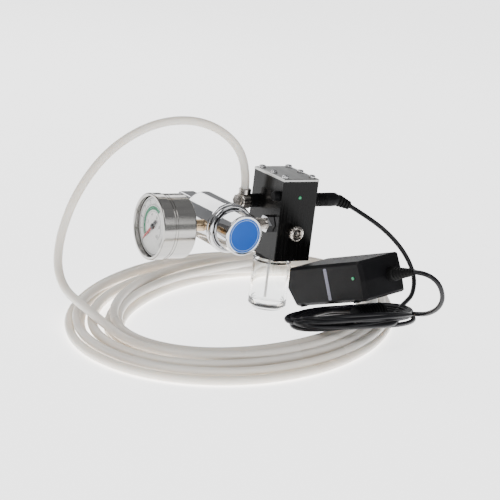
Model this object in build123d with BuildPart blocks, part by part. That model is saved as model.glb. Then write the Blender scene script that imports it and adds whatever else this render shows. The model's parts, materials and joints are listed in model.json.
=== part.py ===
"""Gas pressure regulator with a solenoid dosing block, a bubble jar, its hose and its mains adapter.

Frame: millimetres, +Z up.  The origin is the centre of the jar's base on the floor.
+X runs from the gauge to the valve block, and the knobs face -Y.
"""
import os
from math import cos, pi, radians, sin, tan

from build123d import *

os.makedirs("parts", exist_ok=True)

# ---------------------------------------------------------------- driving dimensions
# valve block
block_width = 32.0          # along X
block_depth = 44.0          # along Y
block_height = 63.0         # without the cover plate
block_offset_x = 3.5        # block centre to the jar's axis
cover_thickness = 2.0
cover_edge = 0.6
screw_inset_x = 4.0
screw_inset_y = 5.0
screw_head_radius = 2.8
screw_head_height = 2.0
screw_shank_radius = 1.25
screw_shank_length = 8.0
screw_socket = 1.9

# bubble jar
jar_radius = 15.0
jar_height = 41.0           # glass, without the neck
jar_wall = 1.8
jar_base = 5.0
neck_radius = 12.0
neck_length = 8.0
seal_thickness = 2.0
seal_radius = 13.6
dip_radius = 1.0
dip_offset_x = -2.5
dip_gap = 8.0               # from the floor to the tube's mouth

# regulator
axis_height = 70.5          # knob, gauge and union axes
reach = 42.5                # block face to the regulator's axis
cross_y = -11.0             # gauge and union axis
body_radius = 18.0
body_length = 40.0
body_front = -17.0
chamber_radius = 13.0
chamber_depth = 10.0
inlet_bore_radius = 6.5
seat_thickness = 3.0
seat_bore_radius = 1.6
flange_radius = 19.0
flange_length = 7.0
flange_front_radius = 16.8
flange_recess_radius = 15.9   # the knob's skirt runs in it
flange_recess_depth = 3.8
bonnet_neck_radius = 12.4
bonnet_neck_length = 10.2
bonnet_bore_radius = 10.0
bonnet_roof = 3.0
knob_radius = 15.5
knob_length = 19.5
knob_bore_clearance = 0.9
knob_roof = 3.0
knob_gap = 3.3              # to the recess's floor, a little over the screw's travel
disc_radius = 13.4
disc_thickness = 0.8
screw_radius = 3.0
button_radius = 9.0
button_thickness = 2.5
spring_wire = 1.4
spring_radius = 7.6
plate_radius = 9.0
plate_thickness = 1.5
diaphragm_thickness = 0.8
diaphragm_radius = 15.2
nipple_radius = 5.4
nipple_length = 17.0
nipple_bore = 2.2
nut_flat_radius = 11.0      # across flats, half
nut_length = 17.0
nut_relief_radius = 10.0    # clear of the thread, round the nipple's nose
nut_relief_length = 6.0
nut_gap = 1.0
thread_radius = 9.5

# union between the regulator and the block
union_radius = 4.0
union_bore = 1.8
union_hex_half = 6.0
union_hex_length = 5.5
union_hex_offset = 0.6

# gauge
gauge_radius = 25.0
gauge_depth = 28.0
bezel_length = 8.0
case_step = 0.7             # the case is this much inside the bezel's rim
case_wall = 1.4
gauge_gap = 18.0            # regulator's side to the gauge's back
stem_radius = 4.5
stem_hex_half = 6.5
stem_hex_length = 6.0
bezel_lip = 0.9
lens_thickness = 1.2
dial_depth = 4.1            # behind the gauge's face
dial_play = 0.7             # between the dial and the case's wall
dial_thickness = 0.6
pointer_margin = 5.7        # from the dial's edge to the pointer's tip
pointer_tail = 6.5
pointer_width = 1.8
pointer_thickness = 0.5
pointer_gap = 0.5           # behind the lens
arbor_radius = 0.8
zero_angle = 45.0           # from straight down

# needle valve
needle_x = 0.0
needle_z = 67.0
bush_shank_radius = 3.4
bush_hex_half = 4.4
bush_hex_length = 2.2
metering_radius = 6.0
metering_length = 5.2
metering_gap = 1.7
needle_radius = 1.5
needle_depth = 9.0

# solenoid
coil_x = 3.5
coil_y = 8.5
coil_radius = 8.5
coil_height = 15.0
coil_bore = 3.6
pocket_depth = 19.0
plunger_radius = 3.4
plunger_length = 9.0
plunger_travel = 1.2
core_length = 5.5

# electrical fittings
jack_y = -8.0
jack_z = 88.0
jack_radius = 4.8
jack_length = 11.5
jack_bore = 2.95
plug_radius = 5.4
plug_length = 28.0
plug_barrel_radius = 2.75
plug_barrel_length = 9.5
relief_length = 14.0
relief_droop = 21.0
relief_turn = -6.0
led_x = 4.0
led_z = 93.2
led_radius = 1.5
service_y = -16.0
service_z = 93.5
service_radius = 3.8
service_length = 4.5

# hose fitting
elbow_y = 15.6
elbow_z = 82.0
collar_radius = 5.3
collar_length = 5.5
elbow_radius = 6.3
elbow_length = 9.5
elbow_cap_radius = 5.0
elbow_cap_length = 2.5
hose_nut_radius = 4.8
hose_nut_height = 4.0

# hose, cable and their coils
hose_diameter = 6.6
hose_coil_centre = (-39.5, -19.0)   # outer oval: centre, half axes and the long axis's angle
hose_coil_major = 186.0
hose_coil_minor = 114.5
hose_coil_angle = 38.3
hose_hole_centre = (-38.0, -29.0)   # the hole inside the turns, nearer the front
hose_hole_major = 140.0
hose_hole_minor = 80.0
hose_hole_angle = 33.0
hose_coil_height = 17.0
hose_coil_edge = 3.0
cable_diameter = 3.6
hank_centre = (10.5, -102.0)
hank_angle = 6.0
hank_major = 60.0
hank_minor = 29.0
hank_width = 13.0
hank_height = 6.5
hank_edge = 1.5
ferrite_radius = 6.5
ferrite_length = 30.0
ferrite_place = (28.0, -97.0)
ferrite_angle = 12.0

# adapter
adapter_length = 88.0
adapter_width = 42.0
adapter_height = 30.0
adapter_corner = 2.5
adapter_slope = 7.0         # the inlet's end leans back from the parting line
adapter_edge = 2.2
adapter_place = (19.5, -71.5)
adapter_rise = 25.1         # the middle, above the coil that carries the bundle
adapter_yaw = -82.0
adapter_pitch = 19.3
adapter_roll = 7.0
adapter_relief_length = 24.0
adapter_exit_offset = 8.0   # cable exit, to the side of the middle
adapter_boss_radius = 5.2
adapter_boss_length = 5.0
inlet_depth = 12.0
inlet_width = 16.0
inlet_height = 9.0
case_wall_bore = 3.2         # the cable relief's spigot
adapter_led_along = 34.0
adapter_led_up = 3.0
adapter_led_radius = 1.2
pin_radius = 1.2
pin_spacing = 8.6
pin_length = 8.0

running_clearance = 0.05
slack = 0.3                 # between pieces of different bodies that aren't a fit

# ---------------------------------------------------------------- derived places
case_radius = gauge_radius - case_step
dial_radius = case_radius - case_wall - dial_play
pointer_length = dial_radius - pointer_margin
hank_bottom = hose_coil_height + slack
adapter_centre = (*adapter_place, hank_bottom + adapter_rise)
seal_bottom = jar_height
block_bottom = seal_bottom + seal_thickness
block_top = block_bottom + block_height
block_left = block_offset_x - block_width / 2
block_right = block_offset_x + block_width / 2
block_front = -block_depth / 2
body_x = block_left - reach
gauge_back = body_x - body_radius - gauge_gap
gauge_face = gauge_back - gauge_depth
dial_x = gauge_face + dial_depth

# planes whose normals run along the axes of the knobs and of the gauge
knob_axis = Plane(origin=(body_x, 0, axis_height), x_dir=(1, 0, 0), z_dir=(0, 1, 0))
cross_axis = Plane(origin=(0, cross_y, axis_height), x_dir=(0, 1, 0), z_dir=(1, 0, 0))
needle_axis = Plane(origin=(needle_x, 0, needle_z), x_dir=(1, 0, 0), z_dir=(0, 1, 0))
jack_axis = Plane(origin=(0, jack_y, jack_z), x_dir=(0, 1, 0), z_dir=(1, 0, 0))
elbow_axis = Plane(origin=(0, elbow_y, elbow_z), x_dir=(0, 1, 0), z_dir=(1, 0, 0))
service_axis = Plane(origin=(0, service_y, service_z), x_dir=(0, 1, 0), z_dir=(1, 0, 0))
led_axis = Plane(origin=(led_x, 0, led_z), x_dir=(1, 0, 0), z_dir=(0, 1, 0))
coil_axis = Plane(origin=(coil_x, coil_y, 0))

bonnet_flange_front = body_front - flange_length
recess_floor = bonnet_flange_front + flange_recess_depth
bonnet_nose = bonnet_flange_front - bonnet_neck_length
knob_back = recess_floor - knob_gap
knob_face = knob_back - knob_length
pocket_floor = block_top - pocket_depth


def save(piece, name):
    """Give the piece its node name and write its STEP file."""
    piece.part.label = name
    export_step(piece.part, f"parts/{name}.step")


# ---------------------------------------------------------------- valve block
screw_places = [
    (block_offset_x + side * (block_width / 2 - screw_inset_x), row * (block_depth / 2 - screw_inset_y))
    for side in (-1, 1)
    for row in (-1, 0, 1)
]
orifice_top = pocket_floor - 3.0
gallery_radius = 2.0

with BuildPart() as valve_block:
    with BuildSketch(Plane((block_offset_x, 0, block_bottom))):
        Rectangle(block_width, block_depth)
    extrude(amount=block_height)
    chamfer(valve_block.edges().filter_by(Axis.Z), 0.5)
    # threaded socket of the jar, and the tube bores above it
    with BuildSketch(Plane.XY.offset(block_bottom)):
        Circle(neck_radius + slack)
    extrude(amount=neck_length + 1.0, mode=Mode.SUBTRACT)
    with BuildSketch(Plane((dip_offset_x, 0, block_bottom + neck_length + 1.0))):
        Circle(dip_radius)
    extrude(amount=6.0, mode=Mode.SUBTRACT)
    # solenoid pocket, plunger bore and valve orifice
    with BuildSketch(coil_axis.offset(pocket_floor)):
        Circle(coil_radius + 0.3)
    extrude(amount=pocket_depth, mode=Mode.SUBTRACT)
    with BuildSketch(coil_axis.offset(orifice_top)):
        Circle(plunger_radius + running_clearance)
    extrude(amount=3.0, mode=Mode.SUBTRACT)
    with BuildSketch(coil_axis.offset(axis_height)):
        Circle(1.0)
    extrude(amount=orifice_top - axis_height, mode=Mode.SUBTRACT)
    # galleries from the union
    with BuildSketch(cross_axis.offset(block_left)):
        Circle(union_radius)
    extrude(amount=6.0, mode=Mode.SUBTRACT)
    with BuildSketch(cross_axis.offset(block_left)):
        Circle(gallery_radius)
    extrude(amount=coil_x - block_left, mode=Mode.SUBTRACT)
    with BuildSketch(Plane((coil_x, cross_y, axis_height), x_dir=(1, 0, 0), z_dir=(0, 1, 0))):
        Circle(gallery_radius)
    extrude(amount=coil_y - cross_y, mode=Mode.SUBTRACT)
    # needle valve bore
    with BuildSketch(needle_axis.offset(block_front)):
        Circle(bush_shank_radius)
    extrude(amount=5.0, mode=Mode.SUBTRACT)
    with BuildSketch(needle_axis.offset(block_front)):
        Circle(needle_radius + slack)
    extrude(amount=needle_depth, mode=Mode.SUBTRACT)
    # jack, lamp, service plug and hose fitting
    with BuildSketch(jack_axis.offset(block_right)):
        Circle(jack_radius)
    extrude(amount=-jack_length, mode=Mode.SUBTRACT)
    with BuildSketch(led_axis.offset(block_front)):
        Circle(led_radius)
    extrude(amount=5.0, mode=Mode.SUBTRACT)
    with BuildSketch(service_axis.offset(block_left)):
        Circle(2.5)
    extrude(amount=5.0, mode=Mode.SUBTRACT)
    with BuildSketch(elbow_axis.offset(block_left)):
        Circle(3.0)
    extrude(amount=6.0, mode=Mode.SUBTRACT)
    # cover screws
    with Locations(*[(x, y, block_top) for x, y in screw_places]):
        Hole(screw_shank_radius, depth=screw_shank_length - cover_thickness)
save(valve_block, "valve_block")

with BuildPart() as top_plate:
    with BuildSketch(Plane((block_offset_x, 0, block_top))):
        Rectangle(block_width, block_depth)
    extrude(amount=cover_thickness)
    chamfer(top_plate.faces().sort_by(Axis.Z)[-1].edges(), cover_edge)
    with Locations(*[(x, y, block_top + cover_thickness) for x, y in screw_places]):
        Hole(screw_shank_radius, depth=cover_thickness)
save(top_plate, "top_plate")

for number, (x, y) in enumerate(screw_places, start=1):
    with BuildPart() as cover_screw:
        with BuildSketch(Plane((x, y, block_top + cover_thickness))):
            Circle(screw_head_radius)
        extrude(amount=screw_head_height)
        fillet(cover_screw.edges().group_by(Axis.Z)[-1], 1.2)
        with BuildSketch(Plane((x, y, block_top + cover_thickness))):
            Circle(screw_shank_radius)
        extrude(amount=-screw_shank_length)
        with BuildSketch(Plane((x, y, block_top + cover_thickness + screw_head_height))):
            RegularPolygon(screw_socket / 2, 6, major_radius=False)
        extrude(amount=-1.2, mode=Mode.SUBTRACT)
    save(cover_screw, f"cover_screw_{number}")

with BuildPart() as status_led:
    with BuildSketch(led_axis.offset(block_front)):
        Circle(led_radius)
    extrude(amount=5.0)
    fillet(status_led.edges().group_by(Axis.Y)[0], 0.6)
save(status_led, "status_led")

with BuildPart() as service_plug:
    with BuildSketch(service_axis.offset(block_left)):
        Circle(2.5)
    extrude(amount=5.0)
    with BuildSketch(service_axis.offset(block_left - service_length)):
        Circle(service_radius)
    extrude(amount=service_length)
    chamfer(service_plug.edges().group_by(Axis.X)[0], 0.8)
save(service_plug, "service_plug")

# ---------------------------------------------------------------- solenoid
with BuildPart() as solenoid_coil:
    with BuildSketch(coil_axis.offset(pocket_floor)):
        Circle(coil_radius)
        Circle(coil_bore, mode=Mode.SUBTRACT)
    extrude(amount=coil_height)
save(solenoid_coil, "solenoid_coil")

core_bottom = block_top - core_length
with BuildPart() as solenoid_core:
    with BuildSketch(coil_axis.offset(core_bottom)):
        Circle(plunger_radius)
    extrude(amount=core_length)
    with BuildSketch(coil_axis.offset(pocket_floor + coil_height)):
        Circle(coil_radius)
    extrude(amount=block_top - pocket_floor - coil_height)
    with BuildSketch(coil_axis.offset(core_bottom)):
        Circle(1.6)
    extrude(amount=1.5, mode=Mode.SUBTRACT)
save(solenoid_core, "solenoid_core")

with BuildPart() as plunger:
    with BuildSketch(coil_axis.offset(orifice_top + 0.2)):
        Circle(plunger_radius)
    extrude(amount=plunger_length)
    with BuildSketch(coil_axis.offset(orifice_top + 0.2 + plunger_length)):
        Circle(2.3)
    extrude(amount=-5.0, mode=Mode.SUBTRACT)
save(plunger, "plunger")

plunger_spring_bottom = orifice_top + 0.2 + plunger_length - 5.0 + 0.1
with BuildPart() as plunger_spring:
    with BuildSketch(coil_axis.offset(plunger_spring_bottom)):
        Circle(1.5)
        Circle(0.9, mode=Mode.SUBTRACT)
    extrude(amount=core_bottom - plunger_spring_bottom - 0.1)
save(plunger_spring, "plunger_spring")

# ---------------------------------------------------------------- jar
inner_radius = jar_radius - jar_wall
shoulder = 1.5
with BuildPart() as jar:
    with BuildSketch(Plane.XZ):
        with BuildLine():
            Polyline(
                (0, 0), (jar_radius - 3.0, 0), (jar_radius, 3.0), (jar_radius, jar_height - shoulder),
                (neck_radius + 1.0, jar_height), (neck_radius, jar_height),
                (neck_radius, jar_height + neck_length + seal_thickness),
                (neck_radius - jar_wall, jar_height + neck_length + seal_thickness),
                (neck_radius - jar_wall, jar_height - 1.0), (inner_radius, jar_height - shoulder - 2.0),
                (inner_radius, jar_base + 3.0), (inner_radius - 3.0, jar_base), (0, jar_base), (0, 0),
            )
        make_face()
    revolve(axis=Axis.Z)
save(jar, "jar")

with BuildPart() as jar_seal:
    with BuildSketch(Plane.XY.offset(seal_bottom + 0.05)):
        Circle(seal_radius)
        Circle(neck_radius + running_clearance, mode=Mode.SUBTRACT)
    extrude(amount=seal_thickness - 0.1)
    fillet(jar_seal.edges().group_by(Axis.Z)[-1].sort_by(Edge.length)[-1:], 0.6)
save(jar_seal, "jar_seal")

with BuildPart() as dip_tube:
    with BuildSketch(Plane((dip_offset_x, 0, dip_gap))):
        Circle(dip_radius)
        Circle(dip_radius / 2, mode=Mode.SUBTRACT)
    extrude(amount=block_bottom + neck_length + 7.0 - dip_gap)
save(dip_tube, "dip_tube")

# ---------------------------------------------------------------- regulator body and bonnet
chamber_floor = body_front + diaphragm_thickness + chamber_depth
with BuildPart() as regulator_body:
    with BuildSketch(knob_axis.offset(body_front)):
        Circle(body_radius)
    extrude(amount=body_length)
    fillet(regulator_body.edges().group_by(Axis.Y)[-1], 2.5)
    # low pressure chamber under the diaphragm, seat bore, high pressure bore
    with BuildSketch(knob_axis.offset(body_front)):
        Circle(diaphragm_radius)
    extrude(amount=diaphragm_thickness, mode=Mode.SUBTRACT)
    with BuildSketch(knob_axis.offset(body_front)):
        Circle(chamber_radius)
    extrude(amount=chamber_depth + diaphragm_thickness, mode=Mode.SUBTRACT)
    with BuildSketch(knob_axis.offset(chamber_floor)):
        Circle(seat_bore_radius)
    extrude(amount=seat_thickness, mode=Mode.SUBTRACT)
    with BuildSketch(knob_axis.offset(chamber_floor + seat_thickness)):
        Circle(inlet_bore_radius)
    extrude(amount=body_front + body_length - chamber_floor - seat_thickness, mode=Mode.SUBTRACT)
    # side ports
    with BuildSketch(cross_axis.offset(body_x)):
        Circle(stem_radius - 0.5)
    extrude(amount=body_radius + 1.0, mode=Mode.SUBTRACT)
    with BuildSketch(cross_axis.offset(body_x)):
        Circle(stem_radius)
    extrude(amount=-body_radius - 1.0, mode=Mode.SUBTRACT)
save(regulator_body, "regulator_body")

with BuildPart() as bonnet:
    with BuildSketch(Plane(origin=(body_x, 0, axis_height), x_dir=(1, 0, 0), z_dir=(0, 0, 1))):
        with BuildLine():
            Polyline(
                (screw_radius, bonnet_nose), (bonnet_neck_radius - 1.0, bonnet_nose),
                (bonnet_neck_radius, bonnet_nose + 1.0), (bonnet_neck_radius, recess_floor),
                (flange_recess_radius, recess_floor), (flange_recess_radius, bonnet_flange_front),
                (flange_front_radius, bonnet_flange_front), (flange_radius, body_front - 2.4),
                (flange_radius, body_front), (bonnet_bore_radius, body_front),
                (bonnet_bore_radius, bonnet_nose + bonnet_roof), (screw_radius, bonnet_nose + bonnet_roof),
                (screw_radius, bonnet_nose),
            )
        make_face()
    revolve(axis=Axis((body_x, 0, axis_height), (0, 1, 0)))
save(bonnet, "bonnet")

with BuildPart() as diaphragm:
    with BuildSketch(knob_axis.offset(body_front)):
        Circle(diaphragm_radius)
    extrude(amount=diaphragm_thickness)
    with BuildSketch(knob_axis.offset(body_front - plate_thickness)):
        Circle(plate_radius)
    extrude(amount=plate_thickness)
save(diaphragm, "diaphragm")

# ---------------------------------------------------------------- pressure knob, screw and spring
screw_tip = bonnet_nose + bonnet_roof + 1.5
with BuildPart() as adjusting_knob:
    with BuildSketch(knob_axis.offset(knob_face)):
        Circle(knob_radius)
    extrude(amount=knob_length)
    fillet(adjusting_knob.edges().group_by(Axis.Y)[0], 1.2)
    chamfer(adjusting_knob.edges().group_by(Axis.Y)[-1], 0.4)
    with BuildSketch(knob_axis.offset(knob_face)):
        Circle(disc_radius)
    extrude(amount=disc_thickness, mode=Mode.SUBTRACT)
    with BuildSketch(knob_axis.offset(knob_face + disc_thickness + knob_roof)):
        Circle(bonnet_neck_radius + knob_bore_clearance)
    extrude(amount=knob_length, mode=Mode.SUBTRACT)
    with BuildSketch(knob_axis.offset(knob_face + disc_thickness)):
        Circle(screw_radius - running_clearance)
    extrude(amount=knob_roof, mode=Mode.SUBTRACT)
save(adjusting_knob, "adjusting_knob")

with BuildPart() as knob_disc:
    with BuildSketch(knob_axis.offset(knob_face)):
        Circle(disc_radius)
    extrude(amount=disc_thickness)
save(knob_disc, "knob_disc")

with BuildPart() as adjusting_screw:
    with BuildSketch(knob_axis.offset(knob_face + disc_thickness)):
        Circle(screw_radius - running_clearance)
    extrude(amount=screw_tip - knob_face - disc_thickness)
save(adjusting_screw, "adjusting_screw")

with BuildPart() as spring_button:
    with BuildSketch(knob_axis.offset(screw_tip + 0.05)):
        Circle(button_radius)
    extrude(amount=button_thickness)
save(spring_button, "spring_button")


def spring_rings(first, last, radius, wire, turns):
    """A closed-ended spring stands as level rings joined by one bar."""
    pitch = (last - first - wire) / (turns - 1)
    with BuildPart() as spring:
        for turn in range(turns):
            with BuildSketch(knob_axis.offset(first + turn * pitch)):
                Circle(radius + wire / 2)
                Circle(radius - wire / 2, mode=Mode.SUBTRACT)
            extrude(amount=wire)
        with BuildSketch(knob_axis.offset(first)):
            with Locations((radius, 0)):
                Rectangle(wire, wire)
        extrude(amount=last - first)
    return spring


range_spring_first = screw_tip + 0.05 + button_thickness
range_spring = spring_rings(range_spring_first, body_front - plate_thickness, spring_radius, spring_wire, 4)
save(range_spring, "range_spring")

# ---------------------------------------------------------------- inlet side
seat_back = chamber_floor + seat_thickness
body_back = body_front + body_length
poppet_front = seat_back + 0.1
poppet_back = poppet_front + 6.0
pin_end = body_front + diaphragm_thickness + slack
with BuildPart() as poppet:
    with BuildSketch(knob_axis.offset(poppet_front)):
        Circle(4.0)
    extrude(amount=poppet_back - poppet_front)
    with BuildSketch(knob_axis.offset(pin_end)):
        Circle(seat_bore_radius - slack)
    extrude(amount=poppet_front - pin_end)
save(poppet, "poppet")

nipple_start = body_back - 8.0
poppet_spring = spring_rings(poppet_back + 0.05, nipple_start - 0.05, 3.0, 0.8, 5)
save(poppet_spring, "poppet_spring")
with BuildPart() as inlet_nipple:
    with BuildSketch(knob_axis.offset(nipple_start)):
        Circle(inlet_bore_radius)
    extrude(amount=8.0)
    with BuildSketch(knob_axis.offset(body_back)):
        Circle(nipple_radius)
    extrude(amount=nipple_length - 4.0)
    with BuildSketch(knob_axis.offset(body_back + nipple_length - 4.0)):
        Circle(thread_radius - 1.2)
    extrude(amount=4.0)
    chamfer(inlet_nipple.edges().group_by(Axis.Y)[-1], 1.0)
    with BuildSketch(knob_axis.offset(nipple_start)):
        Circle(nipple_bore)
    extrude(amount=8.0 + nipple_length, mode=Mode.SUBTRACT)
save(inlet_nipple, "inlet_nipple")

nipple_nose = body_back + nipple_length
nut_back_wall = 3.0
nut_front = nipple_nose - 4.0 - nut_gap - nut_back_wall
with BuildPart() as inlet_nut:
    with BuildSketch(knob_axis.offset(nut_front)):
        RegularPolygon(nut_flat_radius, 6, major_radius=False)
    extrude(amount=nut_length)
    chamfer(inlet_nut.edges().filter_by(GeomType.LINE).filter_by(Axis.Y), 0.4)
    with BuildSketch(knob_axis.offset(nut_front)):
        Circle(nipple_radius + running_clearance)
    extrude(amount=nut_back_wall, mode=Mode.SUBTRACT)
    with BuildSketch(knob_axis.offset(nut_front + nut_back_wall)):
        Circle(nut_relief_radius)
    extrude(amount=nut_relief_length, mode=Mode.SUBTRACT)
    with BuildSketch(knob_axis.offset(nut_front + nut_back_wall + nut_relief_length)):
        Circle(thread_radius)
    extrude(amount=nut_length, mode=Mode.SUBTRACT)
save(inlet_nut, "inlet_nut")

# ---------------------------------------------------------------- union to the block
union_start = body_x + body_radius - 2.0
with BuildPart() as outlet_nipple:
    with BuildSketch(cross_axis.offset(union_start)):
        Circle(union_radius)
        Circle(union_bore, mode=Mode.SUBTRACT)
    extrude(amount=block_left + 6.0 - union_start)
save(outlet_nipple, "outlet_nipple")

with BuildPart() as union_nut:
    with BuildSketch(cross_axis.offset(block_left - union_hex_offset - union_hex_length)):
        RegularPolygon(union_hex_half, 6, major_radius=False)
        Circle(union_radius, mode=Mode.SUBTRACT)
    extrude(amount=union_hex_length)
save(union_nut, "union_nut")

# ---------------------------------------------------------------- gauge
stem_end = body_x - body_radius + 3.0
with BuildPart() as gauge_stem:
    with BuildSketch(cross_axis.offset(gauge_back - 4.0)):
        Circle(stem_radius)
    extrude(amount=stem_end - gauge_back + 4.0)
    with BuildSketch(cross_axis.offset(gauge_back + 0.6)):
        RegularPolygon(stem_hex_half, 6, major_radius=False)
    extrude(amount=stem_hex_length)
    with BuildSketch(cross_axis.offset(gauge_back - 4.0)):
        Circle(1.2)
    extrude(amount=stem_end - gauge_back + 4.0, mode=Mode.SUBTRACT)
save(gauge_stem, "gauge_stem")

case_front = gauge_face + bezel_length
with BuildPart() as gauge_case:
    with BuildSketch(cross_axis.offset(gauge_face + bezel_lip)):
        Circle(case_radius)
    extrude(amount=gauge_depth - bezel_lip)
    fillet(gauge_case.edges().group_by(Axis.X)[-1], 1.6)
    for groove in (1.5, 3.6):
        with BuildSketch(cross_axis.offset(case_front + groove)):
            Circle(case_radius)
            Circle(case_radius - 0.35, mode=Mode.SUBTRACT)
        extrude(amount=0.7, mode=Mode.SUBTRACT)
    with BuildSketch(cross_axis.offset(gauge_face + bezel_lip)):
        Circle(case_radius - case_wall)
    extrude(amount=gauge_depth - bezel_lip - 2.0, mode=Mode.SUBTRACT)
    with BuildSketch(cross_axis.offset(gauge_back - 2.0)):
        Circle(stem_radius)
    extrude(amount=2.0, mode=Mode.SUBTRACT)
save(gauge_case, "gauge_case")

window_radius = case_radius - case_wall - 0.6
with BuildPart() as gauge_bezel:
    with BuildSketch(cross_axis.offset(gauge_face)):
        Circle(gauge_radius)
    extrude(amount=bezel_length)
    fillet(gauge_bezel.edges().group_by(Axis.X)[0], 1.0)
    with BuildSketch(cross_axis.offset(gauge_face + bezel_lip)):
        Circle(case_radius)
    extrude(amount=bezel_length, mode=Mode.SUBTRACT)
    with BuildSketch(cross_axis.offset(gauge_face)):
        Circle(window_radius)
    extrude(amount=bezel_length, mode=Mode.SUBTRACT)
    chamfer(gauge_bezel.edges().group_by(Axis.X)[0].sort_by(Edge.length)[:1], 0.5)
save(gauge_bezel, "gauge_bezel")

with BuildPart() as gauge_lens:
    with BuildSketch(cross_axis.offset(gauge_face + bezel_lip)):
        Circle(case_radius - case_wall)
    extrude(amount=lens_thickness)
save(gauge_lens, "gauge_lens")

with BuildPart() as gauge_dial:
    with BuildSketch(cross_axis.offset(dial_x)):
        Circle(dial_radius)
        Circle(arbor_radius + 1.0, mode=Mode.SUBTRACT)
    extrude(amount=dial_thickness)
save(gauge_dial, "gauge_dial")

movement_front = dial_x + dial_thickness
with BuildPart() as gauge_movement:
    with BuildSketch(cross_axis.offset(movement_front)):
        Circle(9.0)
        Circle(arbor_radius + running_clearance, mode=Mode.SUBTRACT)
    extrude(amount=3.0)
    with BuildSketch(cross_axis.offset(movement_front + 3.0)):
        Rectangle(8.0, 8.0)
    extrude(amount=gauge_back - 4.0 - movement_front - 3.0)
save(gauge_movement, "gauge_movement")

pointer_front = gauge_face + bezel_lip + lens_thickness + pointer_gap
pointer_plane = Plane(
    origin=(pointer_front, cross_y, axis_height),
    x_dir=Vector(0, 1, 0).rotate(Axis.X, zero_angle), z_dir=(1, 0, 0),
)
with BuildPart() as gauge_pointer:
    with BuildSketch(pointer_plane):
        with BuildLine():
            Polyline(
                (-pointer_width / 2, pointer_tail), (pointer_width / 2, pointer_tail),
                (pointer_width / 2, -2.0), (0.2, -pointer_length), (-0.2, -pointer_length),
                (-pointer_width / 2, -2.0), (-pointer_width / 2, pointer_tail),
            )
        make_face()
        Circle(2.0)
    extrude(amount=pointer_thickness)
    with BuildSketch(cross_axis.offset(pointer_front)):
        Circle(arbor_radius)
    extrude(amount=movement_front + 2.5 - pointer_front)
save(gauge_pointer, "gauge_pointer")

# ---------------------------------------------------------------- needle valve
with BuildPart() as needle_bush:
    with BuildSketch(needle_axis.offset(block_front)):
        Circle(bush_shank_radius)
    extrude(amount=5.0)
    with BuildSketch(needle_axis.offset(block_front - bush_hex_length)):
        RegularPolygon(bush_hex_half, 6, major_radius=False)
    extrude(amount=bush_hex_length)
    with BuildSketch(needle_axis.offset(block_front - bush_hex_length)):
        Circle(needle_radius + running_clearance)
    extrude(amount=bush_hex_length + 5.0, mode=Mode.SUBTRACT)
save(needle_bush, "needle_bush")

metering_back = block_front - bush_hex_length - metering_gap
with BuildPart() as metering_needle:
    with BuildSketch(needle_axis.offset(metering_back - 3.0)):
        Circle(needle_radius)
    extrude(amount=block_front + needle_depth - 3.5 - metering_back + 3.0)
    with BuildSketch(needle_axis.offset(block_front + needle_depth - 3.5)):
        Circle(needle_radius)
    extrude(amount=3.0, taper=20)
save(metering_needle, "metering_needle")

with BuildPart() as metering_knob:
    with BuildSketch(needle_axis.offset(metering_back - metering_length)):
        Circle(metering_radius)
    extrude(amount=metering_length)
    chamfer(metering_knob.edges().group_by(Axis.Y)[0], 1.0)
    chamfer(metering_knob.edges().group_by(Axis.Y)[-1], 0.5)
    with BuildSketch(needle_axis.offset(metering_back - metering_length)):
        Circle(metering_radius - 2.2)
    extrude(amount=1.2, mode=Mode.SUBTRACT)
    with BuildSketch(needle_axis.offset(metering_back - metering_length + 1.2)):
        RegularPolygon(1.5, 6, major_radius=False)
    extrude(amount=1.5, mode=Mode.SUBTRACT)
    with BuildSketch(needle_axis.offset(metering_back - 3.0)):
        Circle(needle_radius + running_clearance)
    extrude(amount=3.0, mode=Mode.SUBTRACT)
save(metering_knob, "metering_knob")

# ---------------------------------------------------------------- hose fitting
collar_start = block_left - collar_length
elbow_start = collar_start - elbow_length
hose_x = elbow_start + elbow_length / 2
with BuildPart() as elbow_collar:
    with BuildSketch(elbow_axis.offset(collar_start)):
        Circle(collar_radius)
    extrude(amount=collar_length)
    chamfer(elbow_collar.edges().group_by(Axis.X)[0], 0.6)
    with BuildSketch(elbow_axis.offset(block_left)):
        Circle(3.0)
    extrude(amount=6.0)
save(elbow_collar, "elbow_collar")

with BuildPart() as elbow_body:
    with BuildSketch(elbow_axis.offset(elbow_start)):
        Circle(elbow_radius)
    extrude(amount=elbow_length)
    fillet(elbow_body.edges().filter_by(GeomType.CIRCLE), 2.0)
save(elbow_body, "elbow_body")

with BuildPart() as elbow_cap:
    with BuildSketch(elbow_axis.offset(elbow_start - elbow_cap_length)):
        RegularPolygon(elbow_cap_radius - 0.8, 6, major_radius=False)
    extrude(amount=elbow_cap_length)
save(elbow_cap, "elbow_cap")

hose_nut_bottom = elbow_z + elbow_radius - 0.6
hose_start_z = hose_nut_bottom + hose_nut_height
with BuildPart() as hose_nut:
    with BuildSketch(Plane((hose_x, elbow_y, hose_nut_bottom))):
        Circle(hose_nut_radius)
    extrude(amount=hose_nut_height)
    chamfer(hose_nut.edges().group_by(Axis.Z)[-1], 0.5)
save(hose_nut, "hose_nut")

# ---------------------------------------------------------------- power plug and jack
with BuildPart() as dc_jack:
    with BuildSketch(jack_axis.offset(block_right - jack_length)):
        Circle(jack_radius)
    extrude(amount=jack_length)
    with BuildSketch(jack_axis.offset(block_right)):
        Circle(jack_bore)
        Circle(0.9, mode=Mode.SUBTRACT)
    extrude(amount=-jack_length + 1.5, mode=Mode.SUBTRACT)
save(dc_jack, "dc_jack")

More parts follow.
